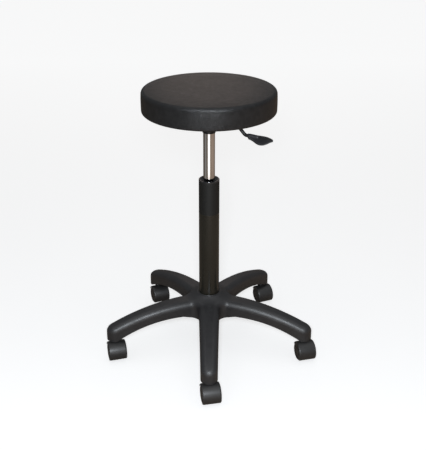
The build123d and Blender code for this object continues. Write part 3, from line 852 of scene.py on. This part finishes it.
studioSpec = {
    "floorSize": 40.0,
    "floorSeen": 0.58,         # how pale the floor looks
    "floorGlow": (0.62, 0.76),  # its own light, for the camera only, near and far
    "floorReach": 3.0,
    "floorLeft": (0.25, 0.21, 0.17),      # what it throws back at the stool
    "floorRight": (0.42, 0.32, 0.24),
    "floorTurn": 0.5,          # half the width over which one tint turns into the other
    "floorRough": 0.9,
    "skySeen": 0.95,
    "skyLight": 0.14,
    "skyColour": (0.96, 0.98, 1.0),
    "overhead": 0.5,
    "overheadSpread": 70.0,
    "lights": {                # place, target, size, power, colour
        "flash": ((-0.02, -1.76, 1.24), (0, 0, 0.4), (0.22, 0.22), 26.0, (0.88, 0.94, 1.0)),
        "frontCard": ((-0.05, -1.10, 0.11), (0, 0, 0.11), (0.80, 0.22), 0.8, (1.0, 0.98, 1.0)),
        "leftCard": ((-1.00, -0.30, 0.12), (0, 0, 0.12), (0.60, 0.24), 0.07, (0.90, 0.94, 1.0)),
        "rightCard": ((1.10, -0.10, 0.12), (0, 0, 0.12), (1.70, 0.24), 0.20, (1.0, 0.74, 0.62)),
        "backBox": ((-0.02, 2.4, 1.5), (0, 0, 0.6), (0.65, 1.1), 1.3, (1.0, 0.80, 0.70)),
    },
    "cameraHeight": 1.149,
    "cameraBack": 1.732,
    "cameraPitch": 21.52,      # degrees below level
    "focalPixels": 779.3,
    "axisPixel": (209.1, 170.5),
    "picture": (426, 450),
}


def floorPaper(spec):
    paper = bpy.data.materials.new("floorPaper")
    paper.use_nodes = True
    tree = paper.node_tree
    shader = tree.nodes["Principled BSDF"]
    seen = addNode(tree, "ShaderNodeLightPath").outputs["Is Camera Ray"]
    across = addNode(tree, "ShaderNodeSeparateXYZ")
    feed(tree, across.inputs[0], addNode(tree, "ShaderNodeTexCoord").outputs["Object"])
    side = rangeNode(tree, across.outputs["X"], -spec["floorTurn"], spec["floorTurn"], 0.0, 1.0)
    tint = mixNode(tree, side, opaque(spec["floorLeft"]), opaque(spec["floorRight"]))
    feed(tree, shader.inputs["Base Color"], mixNode(tree, seen, tint, opaque([spec["floorSeen"]] * 3)))
    glow = rangeNode(tree, across.outputs["Y"], 0.0, spec["floorReach"], *spec["floorGlow"])
    feed(tree, shader.inputs["Emission Color"], (1.0, 1.0, 1.0, 1.0))
    feed(tree, shader.inputs["Emission Strength"], mathNode(tree, "MULTIPLY", seen, glow))
    feed(tree, shader.inputs["Roughness"], spec["floorRough"])
    feed(tree, shader.inputs["Specular IOR Level"], 0.0)
    seeThrough = addNode(tree, "ShaderNodeMixShader")            # clear from below
    feed(tree, seeThrough.inputs["Fac"], addNode(tree, "ShaderNodeNewGeometry").outputs["Backfacing"])
    feed(tree, seeThrough.inputs[1], shader.outputs["BSDF"])
    feed(tree, seeThrough.inputs[2], addNode(tree, "ShaderNodeBsdfTransparent").outputs["BSDF"])
    feed(tree, tree.nodes["Material Output"].inputs["Surface"], seeThrough.outputs["Shader"])
    return paper


def layFloor(spec):
    half = spec["floorSize"] / 2
    corners = [(-half, -half, 0), (half, -half, 0), (half, half, 0), (-half, half, 0)]
    mesh = bpy.data.meshes.new("floor")
    mesh.from_pydata(corners, [], [(0, 1, 2, 3)])
    floor = bpy.data.objects.new("floor", mesh)
    scene.collection.objects.link(floor)
    mesh.materials.append(floorPaper(spec))


def hangSky(spec):
    world = bpy.data.worlds.new("studioWorld")
    world.use_nodes = True
    tree = world.node_tree
    seen = addNode(tree, "ShaderNodeLightPath").outputs["Is Camera Ray"]
    sky = tree.nodes["Background"]
    feed(tree, sky.inputs["Color"], opaque(spec["skyColour"]))
    feed(tree, sky.inputs["Strength"], rangeNode(tree, seen, 0.0, 1.0, spec["skyLight"], spec["skySeen"]))
    scene.world = world


def softbox(name, place, target, size, power, colour):
    light = bpy.data.lights.new(name, "AREA")
    light.shape = "RECTANGLE"
    light.size, light.size_y = size
    light.energy = power
    light.color = colour
    box = bpy.data.objects.new(name, light)
    box.location = place
    box.rotation_euler = (Vector(target) - Vector(place)).to_track_quat("-Z", "Y").to_euler()
    box.visible_camera = False
    scene.collection.objects.link(box)


def setLights(spec):
    for name, (place, target, size, power, colour) in spec["lights"].items():
        softbox(name, place, target, size, power, colour)
    overhead = bpy.data.lights.new("overhead", "SUN")            # straight down
    overhead.energy = spec["overhead"]
    overhead.angle = math.radians(spec["overheadSpread"])
    scene.collection.objects.link(bpy.data.objects.new("overhead", overhead))


def aimCamera(spec):
    lens = bpy.data.cameras.new("camera")
    width, height = spec["picture"]
    axisAcross, axisDown = spec["axisPixel"]
    lens.lens = spec["focalPixels"] / height * lens.sensor_width
    lens.shift_x = (width / 2 - axisAcross) / height
    lens.shift_y = (axisDown - height / 2) / height
    camera = bpy.data.objects.new("camera", lens)
    camera.location = (0.0, -spec["cameraBack"], spec["cameraHeight"])
    camera.rotation_euler = (math.radians(90 - spec["cameraPitch"]), 0.0, 0.0)
    scene.collection.objects.link(camera)
    scene.camera = camera


layFloor(studioSpec)
hangSky(studioSpec)
setLights(studioSpec)
aimCamera(studioSpec)
print("studio lit")
